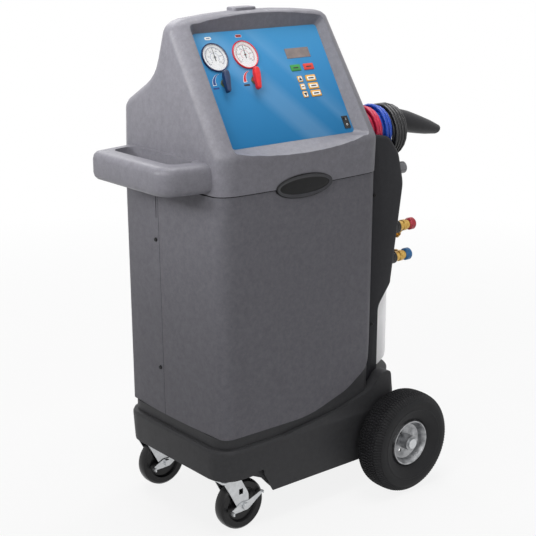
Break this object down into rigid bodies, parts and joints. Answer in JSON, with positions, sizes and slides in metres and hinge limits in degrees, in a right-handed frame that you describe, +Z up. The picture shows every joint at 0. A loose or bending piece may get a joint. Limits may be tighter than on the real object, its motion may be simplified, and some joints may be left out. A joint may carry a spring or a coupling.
{
  "type": "refrigerant recovery machine",
  "caption": "Wheeled refrigerant recovery cart: tapered cabinet with sloped gauge panel, push handle, swivel casters, pneumatic wheels, tank bay and hose hook with wound hoses.",
  "frame": {"origin": "on the floor under the middle of the machine without its cords", "axes": "+Z up, -Y towards the control panel side, +X towards the pneumatic wheels, -X towards the handle"},
  "size_m": [0.9, 0.586, 1.209],
  "materials": {
    "body_gray": "lightly textured moulded plastic",
    "shell_black": "textured moulded plastic",
    "hook_gray": "moulded plastic",
    "panel_blue": "satin printed overlay",
    "ring_navy": "gloss",
    "ring_red": "gloss",
    "clear": "clear",
    "needle_black": "matt paint",
    "brass": "machined",
    "lever_navy": "satin",
    "lever_red": "satin",
    "key_green": "satin",
    "key_red": "satin",
    "key_amber": "satin",
    "switch_black": "satin",
    "post_black": "satin",
    "knob_red": "satin",
    "knob_blue": "satin",
    "zinc": "zinc plated",
    "tyre": "tread rubber",
    "rim_silver": "silver paint on steel",
    "caster_rubber": "hard rubber",
    "tank_gray": "paint",
    "compressor_black": "paint",
    "cast_aluminium": "cast",
    "fan_black": "moulded",
    "drier_blue": "paint",
    "board_green": "solder mask",
    "chassis_zinc": "zinc plated sheet",
    "screw_black": "black oxide",
    "cord_black": "smooth jacket",
    "hose_blue": "smooth jacket",
    "hose_red": "smooth jacket"
  },
  "bodies": {
    "cart": {"base_tray": "shell_black", "chassis_frame": "chassis_zinc", "front_cover": "body_gray", "rear_cover": "body_gray", "side_shell": "shell_black", "top_hood": "body_gray", "hose_hook": "hook_gray", "control_panel": "panel_blue", "low_gauge_case": "ring_navy", "high_gauge_case": "ring_red", "clear_windows": "clear", "valve_manifold": "brass", "switch_bezel": "switch_black", "storage_posts": "post_black", "service_couplers": "brass", "rear_axle": "zinc", "caster_plates": "zinc", "recovery_tank": "tank_gray", "compressor": "compressor_black", "vacuum_pump": "cast_aluminium", "condenser": "cast_aluminium", "filter_drier": "drier_blue", "circuit_board": "board_green", "cover_screws": "screw_black", "outlet_glands": "switch_black", "power_cord_coil": "cord_black", "power_cord_lead": "cord_black", "power_plug": "switch_black", "blue_hose_coil": "hose_blue", "blue_hose_lead": "hose_blue", "red_hose_coil": "hose_red", "red_hose_lead": "hose_red"},
    "near_wheel": {"near_tyre": "tyre", "near_rim": "rim_silver"},
    "far_wheel": {"far_tyre": "tyre", "far_rim": "rim_silver"},
    "near_caster": {"near_caster_fork": "zinc"},
    "far_caster": {"far_caster_fork": "zinc"},
    "near_roller": {"near_caster_wheel": "caster_rubber"},
    "far_roller": {"far_caster_wheel": "caster_rubber"},
    "near_brake": {"near_caster_brake": "zinc"},
    "far_brake": {"far_caster_brake": "zinc"},
    "low_needle": {"low_gauge_needle": "needle_black"},
    "high_needle": {"high_gauge_needle": "needle_black"},
    "low_lever": {"low_valve_lever": "lever_navy"},
    "high_lever": {"high_valve_lever": "lever_red"},
    "rocker": {"power_rocker": "switch_black"},
    "high_knob": {"high_coupler_knob": "knob_red"},
    "low_knob": {"low_coupler_knob": "knob_blue"},
    "liquid_knob": {"liquid_valve_knob": "knob_red"},
    "vapour_knob": {"vapour_valve_knob": "knob_blue"},
    "fan": {"cooling_fan": "fan_black"},
    "start_key_button": {"start_key": "key_green"},
    "stop_key_button": {"stop_key": "key_red"},
    "up_key_button": {"up_key": "key_amber"},
    "enter_key_button": {"enter_key": "key_amber"},
    "down_key_button": {"down_key": "key_amber"},
    "upper_function_key_button": {"upper_function_key": "key_amber"},
    "middle_function_key_button": {"middle_function_key": "key_amber"},
    "lower_function_key_button": {"lower_function_key": "key_amber"}
  },
  "joints": [
    {"name": "near_wheel_roll", "type": "hinge", "parent": "cart", "child": "near_wheel", "pos_m": [0.196, -0.251, 0.13], "axis": [0, 1, 0], "continuous": true},
    {"name": "far_wheel_roll", "type": "hinge", "parent": "cart", "child": "far_wheel", "pos_m": [0.196, 0.251, 0.13], "axis": [0, 1, 0], "continuous": true},
    {"name": "near_caster_swivel", "type": "hinge", "parent": "cart", "child": "near_caster", "pos_m": [-0.295, -0.16, 0.1387], "axis": [0, 0, 1], "continuous": true},
    {"name": "near_caster_roll", "type": "hinge", "parent": "near_caster", "child": "near_roller", "pos_m": [-0.26, -0.16, 0.0635], "axis": [0, 1, 0], "continuous": true},
    {"name": "near_brake_tip", "type": "hinge", "parent": "near_caster", "child": "near_brake", "pos_m": [-0.26, -0.16, 0.0635], "axis": [0, 1, 0], "range_deg": [0, 18]},
    {"name": "far_caster_swivel", "type": "hinge", "parent": "cart", "child": "far_caster", "pos_m": [-0.295, 0.16, 0.1387], "axis": [0, 0, 1], "continuous": true},
    {"name": "far_caster_roll", "type": "hinge", "parent": "far_caster", "child": "far_roller", "pos_m": [-0.26, 0.16, 0.0635], "axis": [0, 1, 0], "continuous": true},
    {"name": "far_brake_tip", "type": "hinge", "parent": "far_caster", "child": "far_brake", "pos_m": [-0.26, 0.16, 0.0635], "axis": [0, 1, 0], "range_deg": [0, 18]},
    {"name": "low_needle_turn", "type": "hinge", "parent": "cart", "child": "low_needle", "pos_m": [-0.236, -0.05387, 1.10615], "axis": [0, -0.8572, 0.515], "range_deg": [-135, 135], "stiffness_Nm_per_rad": 0.0005},
    {"name": "high_needle_turn", "type": "hinge", "parent": "cart", "child": "high_needle", "pos_m": [-0.149, -0.05387, 1.10615], "axis": [0, -0.8572, 0.515], "range_deg": [-135, 135], "stiffness_Nm_per_rad": 0.0005},
    {"name": "low_lever_turn", "type": "hinge", "parent": "cart", "child": "low_lever", "pos_m": [-0.236, -0.09318, 1.05511], "axis": [0, -0.8572, 0.515], "range_deg": [0, 90]},
    {"name": "high_lever_turn", "type": "hinge", "parent": "cart", "child": "high_lever", "pos_m": [-0.149, -0.09318, 1.05511], "axis": [0, -0.8572, 0.515], "range_deg": [0, 90]},
    {"name": "start_key_press", "type": "slide", "parent": "cart", "child": "start_key_button", "axis": [0, 0.8572, -0.515], "range_m": [0, 0.0006], "stiffness_N_per_m": 800},
    {"name": "stop_key_press", "type": "slide", "parent": "cart", "child": "stop_key_button", "axis": [0, 0.8572, -0.515], "range_m": [0, 0.0006], "stiffness_N_per_m": 800},
    {"name": "up_key_press", "type": "slide", "parent": "cart", "child": "up_key_button", "axis": [0, 0.8572, -0.515], "range_m": [0, 0.0006], "stiffness_N_per_m": 800},
    {"name": "enter_key_press", "type": "slide", "parent": "cart", "child": "enter_key_button", "axis": [0, 0.8572, -0.515], "range_m": [0, 0.0006], "stiffness_N_per_m": 800},
    {"name": "down_key_press", "type": "slide", "parent": "cart", "child": "down_key_button", "axis": [0, 0.8572, -0.515], "range_m": [0, 0.0006], "stiffness_N_per_m": 800},
    {"name": "upper_function_key_press", "type": "slide", "parent": "cart", "child": "upper_function_key_button", "axis": [0, 0.8572, -0.515], "range_m": [0, 0.0006], "stiffness_N_per_m": 800},
    {"name": "middle_function_key_press", "type": "slide", "parent": "cart", "child": "middle_function_key_button", "axis": [0, 0.8572, -0.515], "range_m": [0, 0.0006], "stiffness_N_per_m": 800},
    {"name": "lower_function_key_press", "type": "slide", "parent": "cart", "child": "lower_function_key_button", "axis": [0, 0.8572, -0.515], "range_m": [0, 0.0006], "stiffness_N_per_m": 800},
    {"name": "rocker_tip", "type": "hinge", "parent": "cart", "child": "rocker", "pos_m": [0.076, -0.15019, 0.93887], "axis": [1, 0, 0], "range_deg": [-16, 0]},
    {"name": "high_knob_turn", "type": "hinge", "parent": "cart", "child": "high_knob", "pos_m": [0.31428, -0.14, 0.653], "axis": [1, 0, 0], "range_deg": [0, 720]},
    {"name": "low_knob_turn", "type": "hinge", "parent": "cart", "child": "low_knob", "pos_m": [0.30332, -0.14, 0.575], "axis": [1, 0, 0], "range_deg": [0, 720]},
    {"name": "liquid_knob_turn", "type": "hinge", "parent": "cart", "child": "liquid_knob", "pos_m": [0.208, -0.049, 0.612], "axis": [0, -1, 0], "range_deg": [0, 720]},
    {"name": "vapour_knob_turn", "type": "hinge", "parent": "cart", "child": "vapour_knob", "pos_m": [0.208, 0.049, 0.612], "axis": [0, 1, 0], "range_deg": [0, 720]},
    {"name": "fan_spin", "type": "hinge", "parent": "cart", "child": "fan", "pos_m": [-0.125, 0.055, 0.59255], "axis": [0, 1, 0], "continuous": true}
  ]
}
